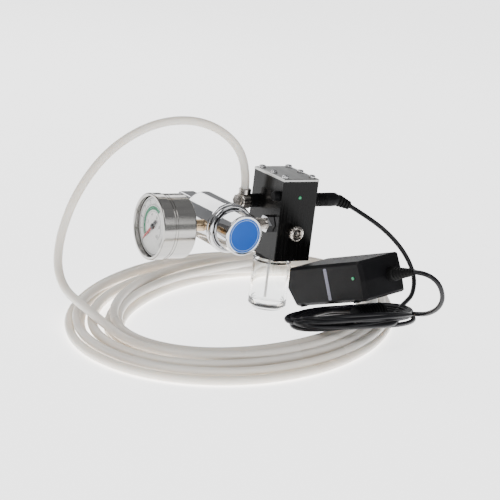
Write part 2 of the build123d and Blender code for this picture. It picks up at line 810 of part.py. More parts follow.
plug_start = block_right + 0.2
plug_end = plug_start + plug_length
with BuildPart() as dc_plug:
    with BuildSketch(jack_axis.offset(plug_start)):
        Circle(plug_radius)
    extrude(amount=plug_length)
    chamfer(dc_plug.edges().group_by(Axis.X)[0], 0.6)
    chamfer(dc_plug.edges().group_by(Axis.X)[-1], 1.2)
    with BuildSketch(jack_axis.offset(plug_start)):
        Circle(plug_barrel_radius)
        Circle(1.2, mode=Mode.SUBTRACT)
    extrude(amount=-plug_barrel_length)
save(dc_plug, "dc_plug")

relief_axis = Vector(1, 0, 0).rotate(Axis.Y, relief_droop).rotate(Axis.Z, relief_turn)
relief_plane = Plane(origin=(plug_end - 1.0, jack_y, jack_z), z_dir=relief_axis)
with BuildPart() as plug_relief:
    with BuildSketch(relief_plane):
        Circle(4.3)
    with BuildSketch(relief_plane.offset(relief_length)):
        Circle(cable_diameter / 2 + 0.7)
    loft()
    for rib in range(4):
        with BuildSketch(relief_plane.offset(2.5 + 3.0 * rib)):
            Circle(4.8 - 0.42 * rib)
        extrude(amount=1.4)
save(plug_relief, "plug_relief")

# ---------------------------------------------------------------- adapter
long_axis = Vector(1, 0, 0).rotate(Axis.Y, -adapter_pitch).rotate(Axis.Z, adapter_yaw)
up_axis = Vector(0, 0, 1).rotate(Axis.X, adapter_roll).rotate(Axis.Y, -adapter_pitch).rotate(Axis.Z, adapter_yaw)
adapter_plane = Plane(origin=adapter_centre, x_dir=long_axis, z_dir=up_axis)
inlet_end = -adapter_length / 2
cable_end = adapter_length / 2
side_axis = up_axis.cross(long_axis)
inlet_plane = Plane(origin=adapter_centre, x_dir=side_axis, z_dir=long_axis)
exit_centre = Vector(*adapter_centre) + side_axis * adapter_exit_offset
exit_plane = Plane(origin=exit_centre, x_dir=side_axis, z_dir=long_axis)
side_plane = Plane(origin=adapter_centre, x_dir=long_axis, z_dir=-side_axis)


def case_half(amount):
    """One shell of the adapter, from the parting line up or down by the amount."""
    with BuildPart() as half:
        with BuildSketch(side_plane):
            with BuildLine():
                Polyline(
                    (inlet_end, 0), (inlet_end + adapter_slope, amount), (cable_end - 1.0, amount),
                    (cable_end, 0), (inlet_end, 0),
                )
            make_face()
        extrude(amount=adapter_width / 2, both=True)
        outer = half.faces().sort_by(Axis(adapter_centre, up_axis * amount))[-1]
        chamfer(outer.edges(), adapter_edge)
        ends = half.edges().filter_by(lambda edge: abs(edge.length - abs(amount)) < adapter_slope)
        corners = ends.filter_by(lambda edge: edge.length > adapter_width / 4)
        chamfer(corners.filter_by(lambda edge: abs(edge.tangent_at(0.5).dot(up_axis)) > 0.7), adapter_corner)
        with BuildSketch(inlet_plane.offset(inlet_end)):
            SlotOverall(inlet_width, inlet_height)
        extrude(amount=inlet_depth, mode=Mode.SUBTRACT)
        with BuildSketch(exit_plane.offset(cable_end)):
            Circle(case_wall_bore)
        extrude(amount=-6.0, mode=Mode.SUBTRACT)
    return half


adapter_upper_case = case_half(adapter_height / 2)
save(adapter_upper_case, "adapter_upper_case")
adapter_lower_case = case_half(-adapter_height / 2)
save(adapter_lower_case, "adapter_lower_case")

with BuildPart() as mains_inlet:
    with BuildSketch(inlet_plane.offset(inlet_end)):
        SlotOverall(inlet_width, inlet_height)
    extrude(amount=inlet_depth)
    with BuildSketch(inlet_plane.offset(inlet_end)):
        SlotOverall(inlet_width - 1.6, inlet_height - 1.6)
        with Locations((-pin_spacing / 2, 0), (pin_spacing / 2, 0)):
            Circle(pin_radius, mode=Mode.SUBTRACT)
    extrude(amount=inlet_depth - 2.0, mode=Mode.SUBTRACT)
save(mains_inlet, "mains_inlet")

with BuildPart() as adapter_relief:
    with BuildSketch(exit_plane.offset(cable_end - 6.0)):
        Circle(case_wall_bore)
    extrude(amount=6.0)
    with BuildSketch(exit_plane.offset(cable_end)):
        Circle(adapter_boss_radius)
    extrude(amount=adapter_boss_length)
    with BuildSketch(exit_plane.offset(cable_end + adapter_boss_length)):
        Circle(3.6)
    with BuildSketch(exit_plane.offset(cable_end + adapter_relief_length)):
        Circle(cable_diameter / 2 + 0.6)
    loft()
save(adapter_relief, "adapter_relief")

# ---------------------------------------------------------------- coils
def oval_ring(outer, hole, bottom, height, edge):
    """The closed outer shape of a coil. An oval is (centre, half length, half width, angle)."""
    with BuildPart() as ring:
        with BuildSketch(Plane.XY.offset(bottom)):
            for (centre, major, minor, angle), mode in ((outer, Mode.ADD), (hole, Mode.SUBTRACT)):
                with Locations(Location((*centre, 0), (0, 0, angle))):
                    Ellipse(major, minor, mode=mode)
        extrude(amount=height)
        chamfer(ring.edges(), edge)
    return ring


hose_coil = oval_ring(
    (hose_coil_centre, hose_coil_major, hose_coil_minor, hose_coil_angle),
    (hose_hole_centre, hose_hole_major, hose_hole_minor, hose_hole_angle),
    0.0, hose_coil_height, hose_coil_edge,
)
save(hose_coil, "hose_coil")

cable_bundle = oval_ring(
    (hank_centre, hank_major, hank_minor, hank_angle),
    (hank_centre, hank_major - hank_width, hank_minor - hank_width, hank_angle),
    hank_bottom, hank_height, hank_edge,
)
save(cable_bundle, "cable_bundle")

ferrite_turn = radians(ferrite_angle)
ferrite_axis = Vector(cos(ferrite_turn), sin(ferrite_turn), 0)
ferrite_origin = Vector(*ferrite_place, hank_bottom + ferrite_radius + 0.1) - ferrite_axis * (ferrite_length / 2)
with BuildPart() as ferrite_bead:
    with BuildSketch(Plane(origin=ferrite_origin, z_dir=ferrite_axis)):
        Circle(ferrite_radius)
    extrude(amount=ferrite_length)
    fillet(ferrite_bead.edges().filter_by(GeomType.CIRCLE), 1.5)
save(ferrite_bead, "ferrite_bead")

# ---------------------------------------------------------------- cords
def cord_radii(points):
    """The radius at each inner point: 0.45 of the shorter run over the tangent of half the turn."""
    radii = []
    for before, here, after in zip(points, points[1:], points[2:]):
        run_in = Vector(*here) - Vector(*before)
        run_out = Vector(*after) - Vector(*here)
        turn = radians(run_in.get_angle(run_out))
        radii.append(0.45 * min(run_in.length, run_out.length) / tan(turn / 2))
    return radii


def cord_tube(name, points, diameter):
    """A plain tube of straight runs and tangent arcs."""
    radii = cord_radii(points)
    with BuildPart() as tube:
        with BuildLine() as route:
            FilletPolyline(*points, radius=radii)
        start = Vector(*points[1]) - Vector(*points[0])
        with BuildSketch(Plane(origin=points[0], z_dir=start)):
            Circle(diameter / 2)
        sweep()
    length = sum(edge.length for edge in route.edges())
    ideal = length * pi * diameter ** 2 / 4
    print(f"{name}: length {length:.1f}, radii {[round(r, 1) for r in radii]}, "
          f"volume {tube.part.volume / ideal:.4f} of the section times the length")
    save(tube, name)


hose_points = [
    (hose_x, elbow_y, hose_start_z),
    (-24.0, 15.8, 112.0),
    (-42.0, 16.5, 134.0),
    (-72.0, 18.0, 145.5),
    (-107.0, 20.0, 142.0),
    (-140.0, 22.0, 122.0),
    (-162.0, 23.5, 91.0),
    (-173.0, 23.0, 59.0),
    (-179.5, 12.0, 36.0),
    (-182.0, -10.0, 23.5),
    (-180.0, -38.0, 20.5),
    (-174.0, -67.0, 14.0),
]
cord_tube("hose_run", hose_points, hose_diameter)

relief_tip = Vector(plug_end - 1.0, jack_y, jack_z) + relief_axis * relief_length
cable_points = [
    tuple(relief_tip),
    (74.0, -18.0, 75.0),
    (84.0, -34.0, 66.0),
    (90.5, -50.0, 54.0),
    (92.0, -63.5, 40.0),
    (83.0, -76.0, 29.0),
    (72.0, -82.0, 25.0),
    (61.0, -88.5, 21.5),
]
cord_tube("cable_run", cable_points, cable_diameter)

tail_tip = exit_centre + long_axis * (cable_end + adapter_relief_length)
tail_points = [
    tuple(tail_tip),
    (37.5, -145.0, 68.5),
    (45.0, -153.0, 63.5),
    (53.0, -151.0, 51.0),
    (57.0, -142.0, 39.5),
    (59.5, -127.0, 30.5),
    (62.5, -110.0, 25.0),
    (64.5, -97.0, 21.5),
]
cord_tube("cable_tail", tail_points, cable_diameter)

with BuildPart() as adapter_led:
    with BuildSketch(side_plane.offset(adapter_width / 2)):
        with Locations((adapter_led_along, adapter_led_up)):
            Circle(adapter_led_radius)
    extrude(amount=0.6)
save(adapter_led, "adapter_led")
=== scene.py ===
"""Looks of the gas regulator kit: camera and light, its hose and cable, materials and fine detail.

Metres, in the CAD model's frame: the origin is the centre of the jar's base,
+Z is up, and the knobs face -Y.
"""
import json
from math import cos, pi, radians, sin

import bmesh
import bpy
from mathutils import Matrix, Vector


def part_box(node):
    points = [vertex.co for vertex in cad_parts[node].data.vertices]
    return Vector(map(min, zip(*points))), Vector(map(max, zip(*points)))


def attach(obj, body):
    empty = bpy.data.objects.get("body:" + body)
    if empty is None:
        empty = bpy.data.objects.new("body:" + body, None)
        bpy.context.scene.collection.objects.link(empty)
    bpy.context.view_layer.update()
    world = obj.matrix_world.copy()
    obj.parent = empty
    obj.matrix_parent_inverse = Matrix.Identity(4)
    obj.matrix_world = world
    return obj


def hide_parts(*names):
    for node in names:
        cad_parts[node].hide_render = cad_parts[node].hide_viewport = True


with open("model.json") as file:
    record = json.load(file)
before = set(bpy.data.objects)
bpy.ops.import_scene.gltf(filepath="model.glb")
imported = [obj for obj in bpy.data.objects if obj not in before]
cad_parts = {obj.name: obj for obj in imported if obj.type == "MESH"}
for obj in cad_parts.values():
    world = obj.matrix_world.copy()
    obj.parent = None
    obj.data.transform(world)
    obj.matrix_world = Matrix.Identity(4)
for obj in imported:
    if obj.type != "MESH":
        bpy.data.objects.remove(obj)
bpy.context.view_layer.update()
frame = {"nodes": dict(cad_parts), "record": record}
nodes = frame["nodes"]
MM = 0.001


def middle(node):
    """The centre of a CAD node's box."""
    low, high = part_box(node)
    return (Vector(low) + Vector(high)) / 2


# ---------------------------------------------------------------- small helpers
def add_object(name, data):
    """An object in the scene's own collection."""
    made = bpy.data.objects.new(name, data)
    bpy.context.scene.collection.objects.link(made)
    return made


def add_mesh(name, build, material, smooth=True):
    """A mesh object filled by the build function, which gets a bmesh."""
    shape = bmesh.new()
    build(shape)
    mesh = bpy.data.meshes.new(name)
    shape.to_mesh(mesh)
    shape.free()
    mesh.materials.append(material)
    for face in mesh.polygons:
        face.use_smooth = smooth
    return add_object(name, mesh)


# ---------------------------------------------------------------- materials
def new_material(name, colour, roughness, metallic=0.0):
    """A Principled material and its tree, with constants set on the shader itself."""
    material = bpy.data.materials.new(name)
    material.use_nodes = True
    shader = material.node_tree.nodes["Principled BSDF"]
    shader.inputs["Base Color"].default_value = (*colour, 1.0)
    shader.inputs["Roughness"].default_value = roughness
    shader.inputs["Metallic"].default_value = metallic
    return material, shader


def add_noise(material, scale, detail=3.0, stretch=(1.0, 1.0, 1.0)):
    """Noise in the object's own coordinates, drawn out along the axes where stretch is small."""
    tree = material.node_tree
    place = tree.nodes.new("ShaderNodeTexCoord")
    mapping = tree.nodes.new("ShaderNodeMapping")
    mapping.inputs["Scale"].default_value = stretch
    noise = tree.nodes.new("ShaderNodeTexNoise")
    noise.inputs["Scale"].default_value = scale
    noise.inputs["Detail"].default_value = detail
    tree.links.new(place.outputs["Object"], mapping.inputs["Vector"])
    tree.links.new(mapping.outputs["Vector"], noise.inputs["Vector"])
    return noise


def vary_roughness(material, shader, noise, low, high):
    """Roughness runs from low to high with the noise."""
    tree = material.node_tree
    spread = tree.nodes.new("ShaderNodeMapRange")
    spread.inputs["From Min"].default_value = 0.3
    spread.inputs["From Max"].default_value = 0.7
    spread.inputs["To Min"].default_value = low
    spread.inputs["To Max"].default_value = high
    tree.links.new(noise.outputs["Fac"], spread.inputs["Value"])
    tree.links.new(spread.outputs["Result"], shader.inputs["Roughness"])


def vary_colour(material, shader, noise, dark, light):
    """Base colour runs from dark to light with the noise."""
    tree = material.node_tree
    ramp = tree.nodes.new("ShaderNodeValToRGB")
    ramp.color_ramp.elements[0].position = 0.35
    ramp.color_ramp.elements[0].color = (*dark, 1.0)
    ramp.color_ramp.elements[1].position = 0.65
    ramp.color_ramp.elements[1].color = (*light, 1.0)
    tree.links.new(noise.outputs["Fac"], ramp.inputs["Fac"])
    tree.links.new(ramp.outputs["Color"], shader.inputs["Base Color"])


def add_bump(material, shader, noise, depth, strength=0.5):
    """Bump from the noise, with its depth in metres."""
    tree = material.node_tree
    bump = tree.nodes.new("ShaderNodeBump")
    bump.inputs["Strength"].default_value = strength
    bump.inputs["Distance"].default_value = depth
    tree.links.new(noise.outputs["Fac"], bump.inputs["Height"])
    tree.links.new(bump.outputs["Normal"], shader.inputs["Normal"])


def metal(name, dark, light, smoothest, roughest, scale=60.0, stretch=(1.0, 1.0, 1.0), depth=0.0):
    """Plated or machined metal, with slight handling marks in its gloss."""
    material, shader = new_material(name, light, smoothest, metallic=1.0)
    noise = add_noise(material, scale, 4.0, stretch)
    vary_roughness(material, shader, noise, smoothest, roughest)
    vary_colour(material, shader, noise, dark, light)
    if depth:
        add_bump(material, shader, noise, depth)
    return material


def moulding(name, dark, light, smoothest, roughest, scale=900.0, depth=0.00003, gloss=0.5):
    """Moulded plastic or rubber with a fine spark-eroded grain."""
    material, shader = new_material(name, light, smoothest)
    shader.inputs["Specular IOR Level"].default_value = gloss
    grain = add_noise(material, scale, 2.0)
    vary_roughness(material, shader, grain, smoothest, roughest)
    cloud = add_noise(material, 45.0, 3.0)
    vary_colour(material, shader, cloud, dark, light)
    add_bump(material, shader, grain, depth, 0.35)
    return material


def clear_plastic(name, tint, roughness, ior):
    """Clear moulded plastic with faint ripples from its mould."""
    material, shader = new_material(name, tint, roughness)
    shader.inputs["Transmission Weight"].default_value = 1.0
    shader.inputs["IOR"].default_value = ior
    ripple = add_noise(material, 70.0, 2.0, (1.0, 1.0, 0.3))
    vary_roughness(material, shader, ripple, roughness, roughness + 0.03)
    add_bump(material, shader, ripple, 0.00012, 0.25)
    return material


def milky_hose(name):
    """Milky hose: light scatters in its cloudy wall, under a soft shine."""
    material, shader = new_material(name, (0.92, 0.88, 0.83), 0.3)
    shader.inputs["IOR"].default_value = 1.38
    shader.inputs["Subsurface Weight"].default_value = 0.6
    shader.inputs["Subsurface Radius"].default_value = (0.006, 0.0055, 0.005)
    shader.inputs["Subsurface Scale"].default_value = 1.0
    cloud = add_noise(material, 18.0, 2.0)
    vary_colour(material, shader, cloud, (0.92, 0.84, 0.755), (0.96, 0.89, 0.815))
    vary_roughness(material, shader, cloud, 0.22, 0.4)
    return material


chrome = metal("chrome", (0.50, 0.50, 0.51), (0.60, 0.60, 0.61), 0.035, 0.09, 45.0)
stainless = metal("stainless", (0.34, 0.33, 0.32), (0.43, 0.42, 0.40), 0.12, 0.2, 160.0, (0.08, 1.0, 1.0))
nickel = metal("nickel", (0.40, 0.37, 0.34), (0.54, 0.50, 0.46), 0.14, 0.26, 180.0)
brass = metal("brass", (0.50, 0.36, 0.22), (0.66, 0.50, 0.32), 0.2, 0.34, 140.0)
steel = metal("steel", (0.42, 0.42, 0.43), (0.62, 0.62, 0.62), 0.18, 0.3, 200.0)
plate_finish = metal("plate", (0.34, 0.34, 0.335), (0.44, 0.44, 0.43), 0.28, 0.4, 240.0, (1.0, 0.06, 1.0))
spring_steel = metal("spring", (0.30, 0.30, 0.32), (0.46, 0.46, 0.48), 0.25, 0.4, 240.0)
winding = moulding("winding", (0.14, 0.04, 0.015), (0.30, 0.10, 0.03), 0.2, 0.35, 500.0)
black_plastic = moulding(
    "black_plastic", (0.003, 0.003, 0.0035), (0.006, 0.006, 0.007), 0.40, 0.52, gloss=0.10)
rubber = moulding("rubber", (0.004, 0.004, 0.004), (0.008, 0.008, 0.008), 0.5, 0.65, 700.0, gloss=0.15)
cable_jacket = moulding(
    "cable_jacket", (0.003, 0.003, 0.004), (0.006, 0.006, 0.008), 0.3, 0.42, 1100.0, 0.00002, 0.3)
clear = clear_plastic("clear", (0.97, 0.98, 0.975), 0.01, 1.49)
hose_wall = milky_hose("hose")


def thin_window(name):
    """A thin flat window: mostly see-through, with a faint shine."""
    material, shader = new_material(name, (0.02, 0.02, 0.02), 0.03)
    shader.inputs["Alpha"].default_value = 0.05
    haze = add_noise(material, 60.0, 2.0)
    vary_roughness(material, shader, haze, 0.02, 0.06)
    return material


gauge_window = thin_window("gauge_window")
dial_print = moulding("dial", (0.80, 0.80, 0.78), (0.88, 0.88, 0.86), 0.35, 0.5, 900.0, 0.000005)
red_enamel = moulding("red", (0.35, 0.012, 0.012), (0.50, 0.02, 0.02), 0.25, 0.35, 500.0, 0.000005)
blue_print = moulding("blue", (0.0015, 0.075, 0.40), (0.002, 0.085, 0.44), 0.3, 0.36, 500.0, 0.000002, 0.2)


def lamp_lens(name, colour, glow):
    """A small coloured lens with a weak glow."""
    material, shader = new_material(name, colour, 0.2)
    shader.inputs["Emission Color"].default_value = (*colour, 1.0)
    shader.inputs["Emission Strength"].default_value = glow
    cloud = add_noise(material, 300.0, 2.0)
    vary_roughness(material, shader, cloud, 0.12, 0.3)
    return material


green_lens = lamp_lens("green_lens", (0.008, 0.26, 0.10), 0.12)


def black_anodising():
    """Glossy black anodised aluminium with vertical brushing under the film."""
    material, shader = new_material("black_anodised", (0.006, 0.006, 0.006), 0.1)
    brushing = add_noise(material, 900.0, 3.0, (1.0, 1.0, 0.03))
    vary_roughness(material, shader, brushing, 0.12, 0.26)
    vary_colour(material, shader, brushing, (0.003, 0.003, 0.003), (0.006, 0.006, 0.006))
    add_bump(material, shader, brushing, 0.00001, 0.3)
    shader.inputs["Specular IOR Level"].default_value = 0.12
    return material


anodised = black_anodising()

finish_of_slot = {
    "chrome": chrome, "stainless": stainless, "nickel": nickel, "brass": brass, "black_anodised": anodised,
    "plate": plate_finish, "steel": steel, "spring": spring_steel, "copper_coil": winding,
    "black_plastic": black_plastic, "rubber": rubber, "clear": clear, "hose": hose_wall,
    "cable": cable_jacket,
    "dial": dial_print, "red": red_enamel, "blue": blue_print, "led": green_lens,
}


def finish_cad_nodes():
    """Each CAD node shown gets the material of its slot."""
    for part in frame["record"]["subparts"]:
        shown = nodes[part["node"]]
        shown.data.materials.clear()
        shown.data.materials.append(finish_of_slot[part["material_slot"]])
    nodes["gauge_lens"].data.materials[0] = gauge_window


# ---------------------------------------------------------------- camera, floor and light
def make_camera():
    data = bpy.data.cameras.new("camera")
    data.lens = 131.0
    data.sensor_width = 36.0
    camera = add_object("camera", data)
    place = Vector((-0.753, -1.151, 0.394))
    target = Vector((-0.010, 0.018, 0.041))
    roll = radians(7.0)
    turn = (target - place).to_track_quat("-Z", "Y").to_matrix() @ Matrix.Rotation(roll, 3, "Z")
    camera.matrix_world = Matrix.Translation(place) @ turn.to_4x4()
    bpy.context.scene.camera = camera


def make_light(name, place, target, size, power):
    """A softbox aimed at a point."""
    data = bpy.data.lights.new(name, "AREA")
    data.shape = "RECTANGLE"
    data.size, data.size_y = size
    data.energy = power
    light = add_object(name, data)
    aim = (Vector(target) - Vector(place)).to_track_quat("-Z", "Y")
    light.matrix_world = Matrix.Translation(place) @ aim.to_matrix().to_4x4()


def make_card(name, place, target, width, height, finish):
    """A flat card that faces a point, for the chrome to mirror."""
    def card_shape(shape):
        bmesh.ops.create_grid(shape, x_segments=1, y_segments=1, size=0.5)

    card = add_mesh(name, card_shape, finish, smooth=False)
    aim = (Vector(target) - Vector(place)).to_track_quat("Z", "Y")
    size = Matrix.Diagonal((width, height, 1.0, 1.0))
    card.matrix_world = Matrix.Translation(place) @ aim.to_matrix().to_4x4() @ size
    return card


FLOOR_GLOW = 2.5
WORLD_STRENGTH = 0.35


def make_stage():
    """A glowing pale floor, soft light all round, and dark cards that give the chrome its bands."""
    floor_finish, shader = new_material("floor", (0.93, 0.93, 0.93), 0.9)
    cloud = add_noise(floor_finish, 3.0, 2.0)
    vary_colour(floor_finish, shader, cloud, (0.92, 0.92, 0.92), (0.94, 0.94, 0.94))
    shader.inputs["Specular IOR Level"].default_value = 0.0
    shader.inputs["Emission Color"].default_value = (1.0, 1.0, 1.0, 1.0)
    shader.inputs["Emission Strength"].default_value = FLOOR_GLOW

    def floor_shape(shape):
        bmesh.ops.create_grid(shape, x_segments=1, y_segments=1, size=6.0)

    floor = add_mesh("floor", floor_shape, floor_finish)
    floor.location.z = -0.0004
    dark = new_material("dark_card", (0.012, 0.012, 0.012), 0.95)[0]
    cards = [
        make_card("left_card", (-1.5, 0.15, 0.35), (-0.09, -0.01, 0.07), 0.5, 1.1, dark),
        make_card("front_card", (-0.35, -1.9, 0.75), (-0.05, -0.02, 0.07), 1.5, 0.5, dark),
        make_card("right_card", (1.5, -1.2, 0.55), (0.0, -0.02, 0.08), 1.1, 1.0, dark),
        make_card("top_card", (-0.55, 0.1, 1.7), (-0.08, 0.0, 0.07), 0.5, 1.0, dark),
    ]
    world = bpy.data.worlds.new("world")
    world.use_nodes = True
    background = world.node_tree.nodes["Background"]
    background.inputs["Color"].default_value = (0.97, 0.98, 1.0, 1.0)
    background.inputs["Strength"].default_value = WORLD_STRENGTH
    bpy.context.scene.world = world
    make_light("key", (-0.9, -0.8, 1.4), (0.0, 0.0, 0.05), (0.5, 0.9), 9.0)
    make_light("fill", (0.4, -1.4, 0.9), (0.0, 0.0, 0.05), (0.6, 0.6), 3.0)
    make_light("back", (0.1, 1.3, 1.0), (0.0, 0.0, 0.05), (1.4, 0.5), 8.0)


# ---------------------------------------------------------------- hose and cable
def spline_cord(name, points, diameter, material):
    """A smooth tube on one open NURBS spline. Its control points are the route's, in millimetres."""
    data = bpy.data.curves.new(name, "CURVE")
    data.dimensions = "3D"
    data.bevel_depth = diameter * MM / 2
    data.bevel_resolution = 5
    data.use_fill_caps = True
    data.resolution_u = 8
    spline = data.splines.new("NURBS")
    spline.points.add(len(points) - 1)
    for control, point in zip(spline.points, points):
        control.co = (point[0] * MM, point[1] * MM, point[2] * MM, 1.0)
    spline.order_u = 3
    spline.use_endpoint_u = True
    data.materials.append(material)
    return add_object(name, data)


def oval_point(centre, angle, major, minor, phase):
    """A point on a level oval, at a phase in degrees from its long axis."""
    turn = radians(angle)
    along = major * cos(radians(phase))
    across = minor * sin(radians(phase))
    x = centre[0] + along * cos(turn) - across * sin(turn)
    y = centre[1] + along * sin(turn) + across * cos(turn)
    return Vector((x, y))


def ease(value):
    """A smooth step from 0 to 1."""
    value = min(max(value, 0.0), 1.0)
    return value * value * (3.0 - 2.0 * value)


def lane_at(lanes, turns, hold=0.5):
    """Place part of the way from one turn's lane to the next: each lane is held, then left."""
    lane = min(int(turns), len(lanes) - 2)
    share = ease((turns - lane - hold) / (1.0 - hold))
    here, following = lanes[lane], lanes[lane + 1]
    return tuple(a + (b - a) * share for a, b in zip(here, following))


def waver(waves, phase, turns):
    """How far a turn strays, as a sum of waves: size, waves in a turn, and shift per turn."""
    return sum(size * sin(radians(phase * count) + turns * shift) for size, count, shift in waves)


HOSE_DIAMETER = 6.6
hose_route = [
    (-23.0, 15.6, 91.7), (-24.0, 15.8, 112.0), (-42.0, 16.5, 134.0), (-72.0, 18.0, 145.5),
    (-107.0, 20.0, 142.0), (-140.0, 22.0, 122.0), (-162.0, 23.5, 91.0), (-173.0, 23.0, 59.0),
    (-179.5, 12.0, 36.0),
    (-182.0, -10.0, 23.5), (-180.0, -38.0, 20.5), (-174.0, -67.0, 14.0),
]
# the coil lies between the hole's oval and the outer oval: centre, half axes, angle
hole_oval = ((-38.0, -29.0), 140.0, 80.0, 33.0)
outer_oval = ((-39.5, -19.0), 186.0, 114.5, 38.3)
# where each turn lies: its share of the way from the hole to the outside, and its height
hose_lanes = [
    (0.42, 13.8), (0.19, 13.8), (0.08, 8.2), (0.32, 8.3), (0.64, 10.2), (0.85, 7.3),
    (1.00, 3.4), (0.74, 3.4), (0.50, 3.4), (0.27, 3.4), (0.05, 3.4), (0.05, 3.4),
]
HOSE_START_PHASE = 172.0
HOSE_TURNS = 10.55
BACK_SPREAD = 0.20      # the inner turns lie this much further in at the back
HOSE_WAVES = ((0.030, 2.0, 2.1), (0.022, 3.0, 4.3))     # share, waves in a turn, and shift per turn
HOSE_STEPS = 16


def coil_point(phase, share, height):
    """A point of the coil, between the hole and the outside."""
    inner, outer = (
        oval_point(centre, angle, major, minor, phase)
        for centre, major, minor, angle in (hole_oval, outer_oval)
    )
    place = inner.lerp(outer, share)
    return (place.x, place.y, height)


def make_hose():
    """The hose from the fitting over its loop and round the loose coil, one length from end to end."""
    points = list(hose_route)
    for step in range(int(HOSE_TURNS * HOSE_STEPS) + 1):
        turns = step / HOSE_STEPS
        phase = HOSE_START_PHASE + 360.0 * turns
        share, height = lane_at(hose_lanes, turns)
        share -= BACK_SPREAD * (1.0 - share) * max(0.0, sin(radians(phase))) * min(turns * 2.0, 1.0)
        wander = waver(HOSE_WAVES, phase, turns)
        points.append(coil_point(phase, share + wander * min(turns * 4.0, 1.0), height))
    hose = spline_cord("hose", points, HOSE_DIAMETER, hose_wall)
    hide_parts("hose_run", "hose_coil")
    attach(hose, "regulator")
    return hose, points


CABLE_DIAMETER = 3.6
relief_tip = (59.7, -9.37, 82.98)
tail_tip = (36.25, -133.63, 65.8)
tail_route = [
    tail_tip, (37.5, -145.0, 68.5), (45.0, -153.0, 63.5), (53.0, -151.0, 51.0), (57.0, -142.0, 39.5),
    (59.5, -127.0, 30.5), (62.5, -110.0, 25.0), (64.5, -97.0, 21.5),
]
run_route = [
    (61.0, -88.5, 21.5), (72.0, -82.0, 25.0), (83.0, -76.0, 29.0), (92.0, -63.5, 40.0), (90.5, -50.0, 54.0),
    (84.0, -34.0, 66.0), (74.0, -18.0, 75.0), relief_tip,
]
# the last turn leaves the bundle here and crosses it to the run
bundle_exit = [(27.0, -127.5, 23.6), (39.0, -119.0, 23.8), (45.5, -108.0, 23.2), (52.0, -97.0, 22.0)]
# each turn of the bundle: its insets at the ends and sides of the outer oval, its height, its slip,
# and how far it rises at the front
cable_lanes = [
    (3.0, 7.0, 22.2, 4.0, 3.0), (8.0, 9.0, 22.2, -8.0, 7.0), (2.2, 2.2, 19.2, 3.0, 0.0),
    (6.5, 8.5, 19.6, -5.0, 10.5), (2.6, 5.5, 22.2, 8.0, 5.0), (8.0, 4.0, 22.2, -3.0, 9.0),
    (4.0, 8.0, 22.2, 6.0, 10.5), (4.0, 6.0, 22.4, 1.0, 2.0), (4.0, 6.0, 22.6, 1.0, 0.0),
]
CABLE_START_PHASE = 22.0
CABLE_TURNS = 7.66
CABLE_STEPS = 15
CABLE_WAVES = ((1.5, 2.0, 1.7), (0.9, 3.0, -2.9))       # millimetres, waves in a turn, and shift per turn
BUNDLE_X, BUNDLE_Y = 10.5, -102.0
BUNDLE_MAJOR, BUNDLE_MINOR = 60.0, 29.0
BUNDLE_ANGLE = 6.0
SLIP_SHARE = 0.6        # of a turn's slip that moves its centre; all of it also turns the oval, in degrees
SIDE_SHARE = 0.7        # of the wander that reaches the oval's sides
RISE_PHASE = 15.0
RISE_PER_SLIP = 3.0


def make_cable():
    """The adapter's output cable: out of its relief, round the bundle, and up to the plug."""
    points = list(tail_route)
    for step in range(int(CABLE_TURNS * CABLE_STEPS) + 1):
        turns = step / CABLE_STEPS
        phase = CABLE_START_PHASE + 360.0 * turns
        end_inset, side_inset, height, slip, rise = lane_at(cable_lanes, turns, 0.3)
        wander = waver(CABLE_WAVES, phase, turns)
        place = oval_point(
            (BUNDLE_X + SLIP_SHARE * slip, BUNDLE_Y), BUNDLE_ANGLE + slip,
            BUNDLE_MAJOR - end_inset + wander, BUNDLE_MINOR - side_inset + SIDE_SHARE * wander, phase,
        )
        front = max(0.0, -sin(radians(phase + RISE_PHASE + RISE_PER_SLIP * slip)))
        points.append((place.x, place.y, height + rise * front))
    points += bundle_exit + run_route
    cable = spline_cord("cable", points, CABLE_DIAMETER, cable_jacket)
    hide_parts("cable_run", "cable_bundle", "cable_tail")
    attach(cable, "regulator")
    return cable, points


def spline_length(cord):
    """The length of the cord's own smooth line, in metres."""
    bare = cord.data.copy()
    bare.bevel_depth = 0.0
    probe = add_object("probe", bare)
    mesh = bpy.data.meshes.new_from_object(probe)
    total = 0.0
    for edge in mesh.edges:
        first, second = (mesh.vertices[index].co for index in edge.vertices)
        total += (first - second).length
    bpy.data.objects.remove(probe)
    return total


# ---------------------------------------------------------------- fine pieces
def place_piece(piece, body, slot, *replaced):
    """Attach a piece to its body and hide any CAD nodes that it stands for; the slot is not used."""
    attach(piece, body)
    if replaced:
        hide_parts(*replaced)
    return piece


def axis_frame(origin, axis, side):
    """A matrix with Z along the axis and X along the side. The origin is in millimetres."""
    z = Vector(axis).normalized()
    x = (Vector(side) - z * Vector(side).dot(z)).normalized()
    y = z.cross(x)
    turn = Matrix((x, y, z)).transposed().to_4x4()
    return Matrix.Translation(Vector(origin) * MM) @ turn


